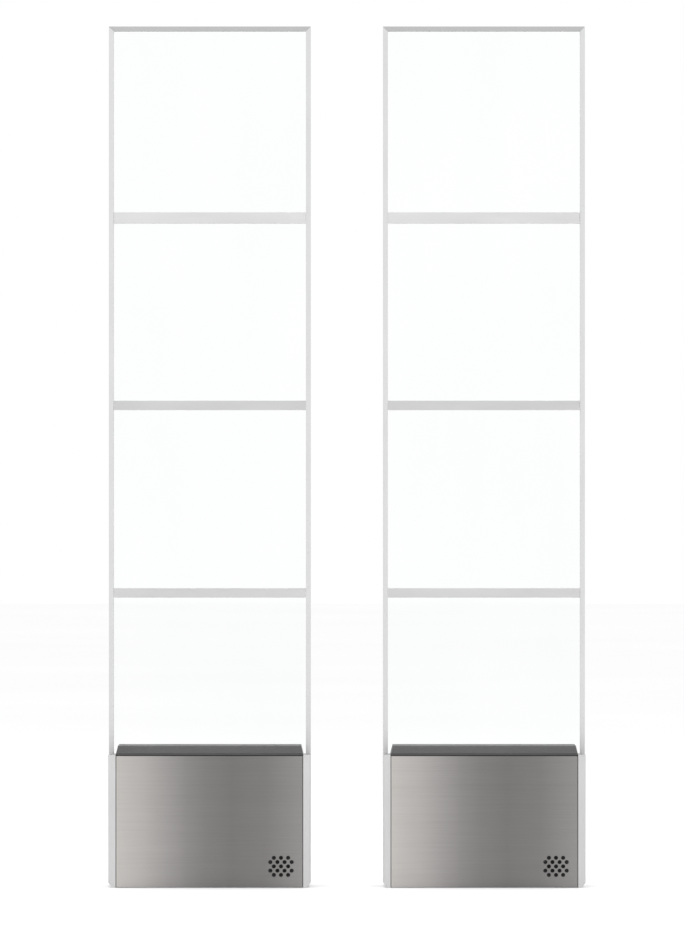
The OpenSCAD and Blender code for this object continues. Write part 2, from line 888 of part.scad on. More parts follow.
// The rocker rests tilted to its "on" side
module power_rocker() {
    body_half = switch_size[0] / 2 - switch_wall - fit_gap;
    axle_half = switch_size[0] / 2 - switch_wall + axle_l - fit_gap;
    axis_y = web_y + switch_size[1] - rocker_axis_in;
    section = [
        [0, -4], [2, -rocker_half], [3.2, -rocker_half], [2, 0],
        [3.2, rocker_half], [2, rocker_half], [0, 4], [-3, 0]
    ];
    color([0.75, 0.12, 0.1]) translate([switch_x, axis_y, switch_z]) {
        rotate([rocker_tilt, 0, 0]) {
            bar_yz(section, -body_half, body_half);
            rotate([0, 90, 0]) cylinder(d = axle_d, h = 2 * axle_half, center = true);
        }
    }
}

module internal_wiring() {
    core_right = core_x + core[0] / 2;
    core_top = core_z + core[2] / 2;
    switched_x = core_x + switched_in;
    tap_z = core_z - tap_drop;
    plug_y = board_y - plug_block[1] / 2;
    switch_left = switch_x - switch_size[0] / 2;
    switch_low_z = switch_z - switch_size[2] / 2;
    color([0.85, 0.3, 0.1]) {
        wire([[switch_x, supply_y, block_z + block[2]], [switch_x, supply_y, switch_low_z]], wire_d);
        wire([
            [switch_left, switched_y, switch_z], [switched_x, switched_y, switch_z],
            [switched_x, switched_y, core_top]
        ], wire_d);
        wire([
            [core_right, board_supply_y, tap_z], [pass_x, board_supply_y, tap_z],
            [pass_x, board_supply_y, pass_z], [pass_x, plug_y, pass_z], [board_right, plug_y, pass_z]
        ], wire_d);
    }
}

for (side = SIDES) at(side) {
    base_plate();
    cable_grommet();
    acrylic_panel();
    top_edge_trim();
    left_edge_trim();
    right_edge_trim();
    crossbar(upper_bar_z, upper_bar_h);
    crossbar(middle_bar_z, bar_h);
    crossbar(lower_bar_z, bar_h);
    antenna_loop();
    front_clamp_bracket();
    rear_clamp_bracket();
    front_cover();
    rear_cover();
    left_end_cap();
    right_end_cap();
    front_top_trim();
    rear_top_trim();
    speaker_frame();
    speaker_cone();
    circuit_board();
    heat_sink();
    transformer();
    terminal_block();
    power_switch();
    power_rocker();
    volume_dial();
    test_button();
    clamp_fasteners();
    clamp_gaskets();
    frame_screws();
    internal_wiring();
}
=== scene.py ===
import math

import bmesh
import bpy
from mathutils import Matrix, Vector


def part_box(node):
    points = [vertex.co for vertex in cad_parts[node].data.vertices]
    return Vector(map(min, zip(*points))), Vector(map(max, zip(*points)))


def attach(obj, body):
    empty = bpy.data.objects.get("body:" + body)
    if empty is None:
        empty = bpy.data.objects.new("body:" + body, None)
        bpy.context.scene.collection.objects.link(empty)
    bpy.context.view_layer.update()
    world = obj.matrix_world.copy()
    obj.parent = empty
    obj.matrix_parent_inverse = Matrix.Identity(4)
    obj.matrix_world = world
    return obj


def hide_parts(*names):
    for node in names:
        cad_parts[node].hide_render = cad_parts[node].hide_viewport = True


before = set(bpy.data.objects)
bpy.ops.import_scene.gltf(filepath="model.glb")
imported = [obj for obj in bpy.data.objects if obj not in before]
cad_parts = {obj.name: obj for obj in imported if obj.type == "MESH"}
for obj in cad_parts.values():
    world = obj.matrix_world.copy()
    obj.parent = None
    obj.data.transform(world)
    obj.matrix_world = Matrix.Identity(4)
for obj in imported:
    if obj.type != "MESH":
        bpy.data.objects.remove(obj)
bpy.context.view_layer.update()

MM = 0.001
SIDES = ("a", "b")
X, Y, Z = 0, 1, 2

# Sizes that the model's boxes don't give by themselves
SHEET = 1.5 * MM         # sheet of the covers, and outer radius of their folds
BEND = 2.6 * MM
FIT_GAP = 0.2 * MM       # between a channel and what lies in it
BOARD_SHEET = 1.6 * MM
EDGE_WALL = 2.0 * MM
LOOP_STRIP = 1.2 * MM    # thickness and width of the flat conductor
LOOP_WIDTH = 6.0 * MM
LEAD_RADIUS = 1.5 * MM
WIRE_RADIUS = 2.0 * MM
GRILLE_RADIUS = 3.5 * MM
GRILLE_PITCH = 12.8 * MM
GRILLE_ROW = 7.7 * MM

# Terminal block of a lead, and plug of the supply wire: their sizes and places on the board
LEAD_BLOCK = (12 * MM, 9 * MM, 10 * MM)
LEAD_IN = 24 * MM
PLUG = (8 * MM, 12 * MM, 16 * MM)
PLUG_DROP = 84 * MM

# Most of a noise's values lie between these two
NOISE_LOW, NOISE_HIGH = 0.3, 0.7

# Points in each bend of a wire
BEND_STEPS = 6


# ---- Materials ----

class Nodes:
    """A new material with a Principled shader, and short ways to add nodes to it."""

    def __init__(self, name, **inputs):
        self.material = bpy.data.materials.new(name)
        self.material.use_nodes = True
        self.tree = self.material.node_tree
        self.shader = next(n for n in self.tree.nodes if n.type == "BSDF_PRINCIPLED")
        self.coords = self.tree.nodes.new("ShaderNodeTexCoord")
        for key, value in inputs.items():
            self.set(key, value)

    def set(self, key, value):
        """Sets a value on one of the shader's own sockets."""
        socket = self.shader.inputs[key.replace("_", " ").title().replace("Ior", "IOR")]
        socket.default_value = (*value, 1.0) if isinstance(value, tuple) else value

    def link(self, source, target):
        self.tree.links.new(source, target)

    def feed(self, key, source):
        """Links a socket to one of the shader's inputs."""
        self.link(source, self.shader.inputs[key])

    def mapped(self, kind, coords="Object", **values):
        """A node that reads the piece's own coordinates, with its input values."""
        node = self.tree.nodes.new(kind)
        self.link(self.coords.outputs[coords], node.inputs["Vector"])
        for key, value in values.items():
            node.inputs[key].default_value = value
        return node

    def noise(self, scale, stretch=(1, 1, 1), detail=4.0, rough=0.55):
        """A noise of so many cells to the metre, finer along an axis where stretch is larger."""
        mapping = self.mapped("ShaderNodeMapping", Scale=stretch)
        noise = self.tree.nodes.new("ShaderNodeTexNoise")
        noise.inputs["Scale"].default_value = scale
        noise.inputs["Detail"].default_value = detail
        noise.inputs["Roughness"].default_value = rough
        self.link(mapping.outputs["Vector"], noise.inputs["Vector"])
        return noise.outputs["Fac"]

    def ramp(self, source, stops):
        """Colours along a value from 0 to 1; each stop is a place and a colour."""
        ramp = self.tree.nodes.new("ShaderNodeValToRGB")
        points = ramp.color_ramp.elements
        while len(points) < len(stops):
            points.new(0.5)
        for point, (spot, colour) in zip(points, stops):
            point.position = spot
            point.color = (*colour, 1.0)
        self.link(source, ramp.inputs["Fac"])
        return ramp.outputs["Color"]

    def remap(self, source, low, high, from_low=NOISE_LOW, from_high=NOISE_HIGH):
        """Carries a value over from one range to another."""
        node = self.tree.nodes.new("ShaderNodeMapRange")
        limits = {"From Min": from_low, "From Max": from_high, "To Min": low, "To Max": high}
        for key, value in limits.items():
            node.inputs[key].default_value = value
        self.link(source, node.inputs["Value"])
        return node.outputs["Result"]

    def mix(self, share, first, second, blend="MIX"):
        """Mixes two colours; each is a socket or a tuple, and the share is a socket or a number."""
        node = self.tree.nodes.new("ShaderNodeMix")
        node.data_type = "RGBA"
        node.blend_type = blend
        named = [s for s in node.inputs if s.enabled]
        for socket, value in zip(named, (share, first, second)):
            if isinstance(value, bpy.types.NodeSocket):
                self.link(value, socket)
            else:
                socket.default_value = (*value, 1.0) if isinstance(value, tuple) else value
        return next(s for s in node.outputs if s.enabled)

    def bump(self, height, strength, depth):
        node = self.tree.nodes.new("ShaderNodeBump")
        node.inputs["Strength"].default_value = strength
        node.inputs["Distance"].default_value = depth
        self.link(height, node.inputs["Height"])
        self.feed("Normal", node.outputs["Normal"])


def grey(value):
    return (value, value, value)


def between(low, high):
    """Ramp stops that take a noise from one colour to the other."""
    return [(NOISE_LOW, low), (NOISE_HIGH, high)]


def shade(colour, factor):
    return tuple(min(1.0, c * factor) for c in colour)


def tones(colour, spread):
    """Ramp stops for a noise that makes a colour darker and lighter by a share."""
    return between(shade(colour, 1 - spread), shade(colour, 1 + spread))


def moulded(name, colour, roughness, grain, depth=0.08, spread=0.06, **inputs):
    """Moulded or painted surface: a fine grain, and slow drifts of tone and gloss."""
    m = Nodes(name, **inputs)
    slow = m.noise(9, detail=3)
    m.feed("Base Color", m.ramp(slow, tones(colour, spread)))
    m.feed("Roughness", m.remap(slow, roughness * 0.88, roughness * 1.12))
    m.bump(m.noise(grain, detail=3), strength=0.6, depth=depth * MM)
    return m.material


def metal(name, colour, roughness, scale, streak=(1, 1, 1), spread=0.1):
    """Plain metal: tone and gloss vary along its rolling or drawing marks."""
    m = Nodes(name, metallic=1.0)
    marks = m.noise(scale, stretch=streak, detail=5)
    m.feed("Base Color", m.ramp(marks, tones(colour, spread)))
    m.feed("Roughness", m.remap(marks, roughness * 0.8, roughness * 1.25))
    m.bump(marks, strength=0.25, depth=0.03 * MM)
    return m.material


def brushed_steel():
    """Stainless sheet with brush lines along its length; across it runs a painted reflection, light
    at the left, darkest past the middle and a little lighter at the right.
    """
    m = Nodes("brushed_steel_sheet", metallic=1.0, anisotropic=0.55)
    across = m.mapped("ShaderNodeSeparateXYZ", "Generated")
    # Painted reflection of the lamps: the colour is light at the sheet's left side, darkest past the
    # middle and a little lighter at the right.
    painted_reflection_bands = m.ramp(across.outputs["X"], [
        (0.0, (0.535, 0.51, 0.488)), (0.14, (0.452, 0.43, 0.418)), (0.27, (0.345, 0.332, 0.326)),
        (0.38, (0.262, 0.255, 0.25)), (0.48, (0.217, 0.212, 0.208)), (0.62, (0.19, 0.186, 0.18)),
        (0.8, (0.213, 0.206, 0.202)), (1.0, (0.288, 0.28, 0.274)),
    ])
    brush = m.noise(900, stretch=(0.008, 1, 1), detail=5, rough=0.75)
    coarse = m.noise(60, stretch=(0.02, 1, 1), detail=3)
    smudge = m.noise(14, detail=4)
    tone = m.ramp(brush, [(0.25, grey(0.87)), (0.75, grey(1.0))])
    brush_lines_and_painted_reflection = m.mix(1.0, painted_reflection_bands, tone, "MULTIPLY")
    drift = m.ramp(coarse, between(grey(0.975), grey(1.0)))
    m.feed("Base Color", m.mix(1.0, brush_lines_and_painted_reflection, drift, "MULTIPLY"))
    m.feed("Roughness", m.remap(smudge, 0.3, 0.38))
    m.bump(brush, strength=0.6, depth=0.06 * MM)
    return m.material


def clear_acrylic():
    """Polished cast sheet: clear, with a breath of green and faint wiping marks."""
    m = Nodes("clear_acrylic", ior=1.49, transmission_weight=1.0, roughness=0.015)
    wipe = m.noise(7, stretch=(1, 1, 0.3), detail=3)
    m.feed("Base Color", m.ramp(wipe, between((0.975, 0.988, 0.985), (0.99, 0.997, 0.995))))
    return m.material


def frosted_plastic(name, tone):
    """Pale translucent bar stock: light passes softly, with a cloudy core."""
    m = Nodes(name, ior=1.46, transmission_weight=0.3, specular_ior_level=0.4)
    cloud = m.noise(30, stretch=(0.25, 1, 1), detail=4)
    fine = m.noise(700, detail=2)
    m.feed("Base Color", m.ramp(cloud, tones(grey(tone), 0.04)))
    m.feed("Roughness", m.remap(fine, 0.42, 0.55))
    m.bump(fine, strength=0.3, depth=0.02 * MM)
    return m.material


def solder_mask():
    """Green lacquer over copper: fields of level and of upright tracks, and plain ground between."""
    m = Nodes("solder_mask", specular_ior_level=0.6, coat_weight=0.3)
    field = m.mapped("ShaderNodeTexVoronoi", Scale=62, Randomness=0.35)
    field.distance = "CHEBYCHEV"
    choice = m.tree.nodes.new("ShaderNodeSeparateColor")
    m.link(field.outputs["Color"], choice.inputs["Color"])
    runs = []
    for direction in ("X", "Z"):
        wave = m.mapped("ShaderNodeTexWave", Scale=150)
        wave.bands_direction = direction
        runs.append(m.remap(wave.outputs["Fac"], 0.0, 1.0, 0.42, 0.55))
    level = m.remap(choice.outputs["Red"], 0.0, 1.0, 0.49, 0.51)
    plain = m.remap(choice.outputs["Green"], 0.0, 1.0, 0.39, 0.41)
    tracks = m.mix(plain, grey(1.0), m.mix(level, runs[0], runs[1]))
    m.feed("Base Color", m.mix(tracks, (0.008, 0.075, 0.034), (0.02, 0.17, 0.075)))
    m.feed("Roughness", m.remap(m.noise(60), 0.25, 0.35))
    m.bump(tracks, strength=0.3, depth=0.05 * MM)
    return m.material


def laminations():
    """Edges of stacked core sheets under varnish: thin lines along the stack."""
    m = Nodes("core_laminations", metallic=0.6, roughness=0.5)
    wave = m.mapped("ShaderNodeTexWave", Scale=300, Distortion=0.4)
    wave.bands_direction = "Y"
    lines = [(0.2, (0.03, 0.03, 0.035)), (0.6, (0.16, 0.155, 0.15))]
    m.feed("Base Color", m.ramp(wave.outputs["Fac"], lines))
    m.bump(wave.outputs["Fac"], strength=0.5, depth=0.1 * MM)
    return m.material


def dark_trim():
    """Dark coated strip: its upper edge is painted lighter, a painted highlight of the light from
    above, and a fine grain lies over all of it.
    """
    m = Nodes("top_trim_dark", specular_ior_level=0.5)
    height = m.mapped("ShaderNodeSeparateXYZ", "Generated")
    # Painted highlight: the colour grows lighter towards the top edge, where the light from above
    # falls; it is also a little lighter at the foot than in the middle.
    painted_top_highlight = m.ramp(height.outputs["Z"], [
        (0.0, (0.052, 0.052, 0.052)), (0.4, (0.038, 0.038, 0.039)), (0.8, (0.04, 0.04, 0.041)),
        (1.0, (0.062, 0.062, 0.063)),
    ])
    drift = m.noise(12, detail=3)
    tone = m.ramp(drift, between(grey(0.92), grey(1.0)))
    m.feed("Base Color", m.mix(1.0, painted_top_highlight, tone, "MULTIPLY"))
    m.feed("Roughness", m.remap(drift, 0.34, 0.42))
    m.bump(m.noise(1300, detail=3), strength=0.6, depth=0.25 * MM)
    return m.material


def pale_floor():
    """Matt, near white, and a little bright by itself, so that it runs into the surround."""
    m = Nodes("pale_floor", roughness=0.9, specular_ior_level=0.0, emission_strength=0.08)
    m.set("emission_color", grey(1.0))
    m.feed("Base Color", m.ramp(m.noise(0.6), between(grey(0.89), grey(0.91))))
    return m.material


STEEL = brushed_steel()
ACRYLIC = clear_acrylic()
# The three bars are one frosted plastic; their three tones are painted light and shade, the upper bar
# painted lighter and the middle one darkest.
FROSTED = {
    "upper": frosted_plastic("frosted_upper_bar", 0.845),
    "middle": frosted_plastic("frosted_middle_bar", 0.735),
    "lower": frosted_plastic("frosted_lower_bar", 0.765),
}
MASK = solder_mask()
LAMINATED = laminations()
CHANNEL_FINISH = {"roughness": 0.42, "grain": 1500, "depth": 0.06, "spread": 0.025}
EDGE_GREY = moulded("edge_channel_grey", (0.6, 0.6, 0.605), **CHANNEL_FINISH)
# The top channel is the same plastic as the side channels; its darker grey is painted shade.
TOP_EDGE_GREY = moulded("top_channel_grey", (0.43, 0.43, 0.435), **CHANNEL_FINISH)
CAP_GREY = moulded("end_cap_grey", grey(0.545), 0.45, grain=1300, depth=0.22, spread=0.035)
TRIM_DARK = dark_trim()
ZINC = metal("zinc_plate", (0.52, 0.54, 0.57), 0.42, scale=90, spread=0.14)
BRIGHT_ZINC = metal("bright_zinc", (0.66, 0.66, 0.65), 0.28, scale=300)
RUBBER = moulded("black_rubber", (0.018, 0.018, 0.019), 0.75, grain=1500, depth=0.08, spread=0.15)
COPPER = metal("bare_copper", (0.8, 0.42, 0.24), 0.3, streak=(1, 1, 0.05), scale=300)
BASKET = moulded("basket_black", (0.03, 0.03, 0.033), 0.35, grain=700, depth=0.03)
PAPER = moulded("cone_paper", (0.02, 0.02, 0.021), 0.85, grain=2500, depth=0.12, spread=0.25)
ALUMINIUM = metal("heat_sink_aluminium", (0.68, 0.69, 0.71), 0.36, streak=(1, 1, 0.03), scale=600)
TERMINAL = moulded("terminal_cream", (0.72, 0.7, 0.62), 0.45, grain=900)
BLACK = moulded("component_black", (0.022, 0.022, 0.024), 0.42, grain=1200, depth=0.03, spread=0.15)
RED = moulded("control_red", (0.5, 0.025, 0.02), 0.28, grain=1200, depth=0.01, coat_weight=0.3)
DIAL_WHITE = moulded("dial_white", (0.74, 0.74, 0.71), 0.4, grain=900)
TAPE = moulded("winding_tape", (0.62, 0.42, 0.06), 0.35, grain=400, depth=0.05, spread=0.12)
SLEEVE = moulded("capacitor_sleeve", (0.02, 0.035, 0.12), 0.3, grain=800, depth=0.01, coat_weight=0.4)
CERAMIC = moulded("resistor_ceramic", (0.3, 0.26, 0.2), 0.6, grain=1500)
WIRE_RED = moulded("wire_red", (0.55, 0.03, 0.02), 0.35, grain=1500, depth=0.02)
WIRE_BLACK = moulded("wire_black", (0.02, 0.02, 0.022), 0.35, grain=1500, depth=0.02)
WIRE_BLUE = moulded("wire_blue", (0.02, 0.07, 0.35), 0.35, grain=1500, depth=0.02)


# ---- Mesh building ----

def prism(outline, axis, start, end):
    """An outline in two axes, given a length along the third; an end may depend on the point."""
    bm = bmesh.new()
    rows = []
    for limit in (start, end):
        row = []
        for point in outline:
            spot = list(point)
            spot.insert(axis, limit(point) if callable(limit) else limit)
            row.append(bm.verts.new(spot))
        rows.append(row)
    count = len(outline)
    for row in rows:
        bm.faces.new(row)
    for i in range(count):
        j = (i + 1) % count
        bm.faces.new((rows[0][i], rows[0][j], rows[1][j], rows[1][i]))
    bmesh.ops.recalc_face_normals(bm, faces=bm.faces)
    return bm


def block(low, high):
    outline = [(low[X], low[Y]), (high[X], low[Y]), (high[X], high[Y]), (low[X], high[Y])]
    return prism(outline, Z, low[Z], high[Z])


def spanned(x, y, z):
    """A block from its two ends along each axis."""
    return block((x[0], y[0], z[0]), (x[1], y[1], z[1]))


def about(middle, half):
    return (middle - half, middle + half)


def block_at(centre, size):
    return spanned(*(about(c, s / 2) for c, s in zip(centre, size)))


def lathe(profile, axis, centre, steps):
    """A closed turned piece; a profile point is a radius and a place along the axis."""
    bm = bmesh.new()
    rings = []
    for radius, along in profile:
        ring = []
        for i in range(steps if radius > 0 else 1):
            turn = 2 * math.pi * i / steps
            spot = [radius * math.cos(turn), radius * math.sin(turn)]
            spot.insert(axis, along)
            ring.append(bm.verts.new(Vector(spot) + Vector(centre)))
        rings.append(ring)
    for first, second in zip(rings, rings[1:]):
        for i in range(steps):
            corners = [first[i % len(first)], first[(i + 1) % len(first)],
                       second[(i + 1) % len(second)], second[i % len(second)]]
            bm.faces.new(list(dict.fromkeys(corners)))
    bmesh.ops.recalc_face_normals(bm, faces=bm.faces)
    return bm


def joined(parts):
    """One bmesh out of several."""
    whole = bmesh.new()
    for part in parts:
        scratch = bpy.data.meshes.new("scratch")
        part.to_mesh(scratch)
        part.free()
        whole.from_mesh(scratch)
        bpy.data.meshes.remove(scratch)
    return whole


def sharp_edges(bm, degrees=30):
    limit = math.radians(degrees)
    return [e for e in bm.edges if len(e.link_faces) == 2 and e.calc_face_angle(0) > limit]


def rounded(bm, radius, segments=3, edges=None):
    """Rounds the given edges, or every sharp one."""
    bmesh.ops.bevel(
        bm, geom=edges or sharp_edges(bm), offset=radius, segments=segments, profile=0.5,
        affect="EDGES", clamp_overlap=True,
    )
    return bm


def linked(name, data, material=None):
    """An object of the scene that holds a mesh, curve, lamp or camera."""
    item = bpy.data.objects.new(name, data)
    bpy.context.scene.collection.objects.link(item)
    if material:
        data.materials.append(material)
    return item


def added(name, bm, material=None, smooth=True):
    """Turns a bmesh into an object of the scene."""
    mesh = bpy.data.meshes.new(name)
    for face in bm.faces:
        face.smooth = smooth
    bm.to_mesh(mesh)
    bm.free()
    return linked(name, mesh, material)


def make(name, bm, material, body="root", replaces=()):
    """A finished piece out of a bmesh, riding on its body."""
    piece = added(name, bm, material)
    piece.modifiers.new("normals", "WEIGHTED_NORMAL").keep_sharp = True
    return place(piece, body, replaces)


def place(piece, body, replaces):
    """Puts a piece on its body, and hides the CAD nodes that it stands for."""
    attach(piece, body)
    if replaces:
        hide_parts(*replaces)
    return piece


def settle(piece, cutter):
    """Makes a piece's modifiers final, and removes the cutter that one of them used, if any."""
    graph = bpy.context.evaluated_depsgraph_get()
    final = bpy.data.meshes.new_from_object(piece.evaluated_get(graph))
    piece.modifiers.clear()
    piece.data = final
    if cutter:
        bpy.data.objects.remove(cutter)


def tube(name, points, radius, bend, material, replaces=()):
    """A round wire through the points, its corners turned with the bend radius."""
    points = [Vector(p) for p in points]
    path = [points[0]]
    for before, corner, after in zip(points, points[1:], points[2:]):
        reach = min(bend, (before - corner).length / 2, (after - corner).length / 2)
        start = corner + (before - corner).normalized() * reach
        end = corner + (after - corner).normalized() * reach
        for i in range(BEND_STEPS + 1):
            t = i / BEND_STEPS
            path.append(start.lerp(corner, t).lerp(corner.lerp(end, t), t))
    path.append(points[-1])
    curve = bpy.data.curves.new(name, "CURVE")
    curve.dimensions = "3D"
    curve.bevel_depth = radius
    curve.bevel_resolution = 4
    curve.use_fill_caps = True
    spline = curve.splines.new("POLY")
    spline.points.add(len(path) - 1)
    for spot, where in zip(spline.points, path):
        spot.co = (*where, 1.0)
    spline.use_smooth = True
    place(linked(name, curve, material), "root", replaces)


def bevelled(piece, name, width, degrees):
    """Breaks the edges sharper than an angle."""
    bevel = piece.modifiers.new(name, "BEVEL")
    bevel.width = width
    bevel.segments = 2
    bevel.limit_method = "ANGLE"
    bevel.angle_limit = math.radians(degrees)
    return bevel


def finish_node(name, material, soften=0.0):
    """Gives a CAD node its material and breaks its sharp edges."""
    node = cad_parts[name]
    node.data.materials.clear()
    node.data.materials.append(material)
    if soften:
        node.modifiers.new("weld", "WELD").merge_threshold = 0.01 * MM
        flats = node.modifiers.new("flats", "DECIMATE")
        flats.decimate_type = "DISSOLVE"
        flats.angle_limit = math.radians(0.5)
        bevelled(node, "edges", soften, 40).harden_normals = True


# ---- Base: covers ----

def grille_cutter(centre, front_y):
    """Punches for the speaker holes, flared at the face so that each rim has a small chamfer."""
    chamfer = 0.4 * MM
    flare = 0.5 * MM
    depth = 4 * SHEET
    profile = [
        (0, -flare), (GRILLE_RADIUS + chamfer + flare, -flare), (GRILLE_RADIUS, chamfer),
        (GRILLE_RADIUS, depth), (0, depth),
    ]
    parts = []
    for row in range(-2, 3):
        across = 3 if row % 2 == 0 else 4
        for i in range(across):
            x = centre[X] + (i - (across - 1) / 2) * GRILLE_PITCH
            parts.append(lathe(profile, Y, (x, front_y, centre[Z] + row * GRILLE_ROW), steps=40))
    return added("punches", joined(parts), smooth=False)


def open_pan(low, high, face_y, back_y):
    """Face, two sides and top of a pan with rounded folds; it's open below and behind."""
    bm = bmesh.new()
    corners = {}
    for x in (low[X], high[X]):
        for y in (face_y, back_y):
            for z in (low[Z], high[Z]):
                corners[x, y, z] = bm.verts.new((x, y, z))
    outline = [(low[X], low[Z]), (high[X], low[Z]), (high[X], high[Z]), (low[X], high[Z])]
    near, far = ([corners[x, y, z] for x, z in outline] for y in (face_y, back_y))
    bm.faces.new(near)
    for i in (1, 2, 3):
        j = (i + 1) % 4
        bm.faces.new((near[i], near[j], far[j], far[i]))
    bmesh.ops.recalc_face_normals(bm, faces=bm.faces)
    middle = Vector(((low[X] + high[X]) / 2, back_y, (low[Z] + high[Z]) / 2))
    front_face = bm.faces[:][0]
    if front_face.normal.dot(front_face.calc_center_median() - middle) < 0:
        bmesh.ops.reverse_faces(bm, faces=bm.faces)
    folds = [e for e in bm.edges if len(e.link_faces) == 2]
    return rounded(bm, BEND, segments=5, edges=folds)


def folded_cover(side, which):
    """A pan folded from sheet; the front one has the speaker's holes."""
    name = f"{side}_{which}_cover"
    low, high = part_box(name)
    face_y, back_y = (low[Y], high[Y]) if which == "front" else (high[Y], low[Y])
    piece = added(name + "_sheet", open_pan(low, high, face_y, back_y), STEEL)
    wall = piece.modifiers.new("sheet", "SOLIDIFY")
    wall.thickness = SHEET
    wall.offset = -1
    wall.use_even_offset = True
    cutter = None
    if which == "front":
        speaker_low, speaker_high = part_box(f"{side}_speaker_frame")
        cutter = grille_cutter((speaker_low + speaker_high) / 2, face_y)
        punch = piece.modifiers.new("grille", "BOOLEAN")
        punch.operation = "DIFFERENCE"
        punch.solver = "EXACT"
        punch.object = cutter
    bevelled(piece, "rims", 0.2 * MM, 60)
    settle(piece, cutter)
    piece.modifiers.new("normals", "WEIGHTED_NORMAL").keep_sharp = True
    place(piece, name, [name])


def cover_studs(side):
    """The heads of the four studs that hold the speaker to its cover."""
    low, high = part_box(f"{side}_speaker_frame")
    stud_in = 4.5 * MM
    seat_y = low[Y] + 2.05 * MM
    radius, rim, height = 2.7 * MM, 0.6 * MM, 1.0 * MM
    profile = [(0, 0), (radius, 0), (radius, rim), (2.0 * MM, height), (0, height)]
    parts = []
    for x in (low[X] + stud_in, high[X] - stud_in):
        for z in (low[Z] + stud_in, high[Z] - stud_in):
            parts.append(lathe(profile, Y, (x, seat_y, z), steps=24))
    name = f"{side}_speaker_studs"
    make(name, joined(parts), BRIGHT_ZINC, body=f"{side}_front_cover")


# ---- Antenna panel ----

def edge_channel(side, which):
    """A channel with mitred upper ends, its corners broken."""
    name = f"{side}_{which}_edge_trim"
    low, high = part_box(name)
    slot_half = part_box(f"{side}_acrylic_panel")[1][Y] + FIT_GAP
    side_y = high[Y]
    if which == "top":
        web = high[Z] - EDGE_WALL
        outline = [(-side_y, low[Z]), (-slot_half, low[Z]), (-slot_half, web), (slot_half, web),
                   (slot_half, low[Z]), (side_y, low[Z]), (side_y, high[Z]), (-side_y, high[Z])]
        bm = prism(outline, X, lambda p: low[X] + high[Z] - p[1], lambda p: high[X] - high[Z] + p[1])
    else:
        outer, inner = (low[X], high[X]) if which == "left" else (high[X], low[X])
        web = outer + (EDGE_WALL if which == "left" else -EDGE_WALL)
        outline = [(inner, -side_y), (inner, -slot_half), (web, -slot_half), (web, slot_half),
                   (inner, slot_half), (inner, side_y), (outer, side_y), (outer, -side_y)]
        bm = prism(outline, Z, low[Z], lambda p: high[Z] - abs(outer - p[0]))
    material = TOP_EDGE_GREY if which == "top" else EDGE_GREY
    make(name + "_channel", rounded(bm, 0.5 * MM), material, replaces=[name])


def crossbar(side, which):
    """Two flat bars, one on each face of the sheet, with rounded long edges."""
    name = f"{side}_{which}_crossbar"
    low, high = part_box(name)
    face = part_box(f"{side}_acrylic_panel")[1][Y]
    width, height = (low[X], high[X]), (low[Z], high[Z])
    depths = ((low[Y], -face), (face, high[Y]))
    bars = [rounded(spanned(width, depth, height), 0.8 * MM) for depth in depths]
    make(name + "_bars", joined(bars), FROSTED[which], replaces=[name])


def antenna(side):
    """The flat loop inside the edge channels, and its two sleeved leads down to the board."""
    name = f"{side}_antenna_loop"
    low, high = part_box(name)
    board_low, board_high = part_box(f"{side}_circuit_board")
    base_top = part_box(f"{side}_left_end_cap")[1][Z]
    lead_z = base_top - 24 * MM
    lead_y = board_high[Y] - BOARD_SHEET - LEAD_BLOCK[Y] / 2
    over_strip = 6 * MM
    turn_in = 28.9 * MM
    strip = about(0, LOOP_WIDTH / 2)
    under_top = high[Z] - LOOP_STRIP
    parts = [spanned((low[X], high[X]), strip, (under_top, high[Z]))]
    for x in (low[X], high[X] - LOOP_STRIP):
        parts.append(spanned((x, x + LOOP_STRIP), strip, (lead_z, under_top)))
    make(name + "_strip", joined(parts), COPPER, replaces=[name])
    hands = {
        "left": (low[X] + LOOP_STRIP / 2, turn_in, board_low[X] + LEAD_IN, WIRE_RED),
        "right": (high[X] - LOOP_STRIP / 2, -turn_in, board_high[X] - LEAD_IN, WIRE_BLACK),
    }
    for hand, (leg_x, turn, end_x, material) in hands.items():
        route = [
            (leg_x, 0, lead_z + over_strip), (leg_x, 0, lead_z), (leg_x + turn, 0, lead_z),
            (leg_x + turn, lead_y, lead_z), (end_x, lead_y, lead_z),
            (end_x, lead_y, board_high[Z] - 1 * MM),
        ]
        tube(f"{name}_lead_{hand}", route, LEAD_RADIUS, 5 * MM, material)


# ---- Electronics ----

def chip(centre_x, centre_z, face_y, size, legs):
    """A moulded package and its two rows of legs, as bmeshes."""
    width, thick, height = size
    lift = 0.3 * MM
    leg_size = (1.6 * MM, 0.8 * MM, 0.5 * MM)
    leg_out = width / 2 + 0.6 * MM
    leg_pitch = height * 0.88 / (legs - 1)
    body = rounded(block_at((centre_x, face_y - thick / 2 - lift, centre_z), size), 0.3 * MM, 2)
    pins = []
    for i in range(legs):
        z = centre_z + (i - (legs - 1) / 2) * leg_pitch
        for x in about(centre_x, leg_out):
            pins.append(block_at((x, face_y - leg_size[Y] / 2, z), leg_size))
    return body, pins


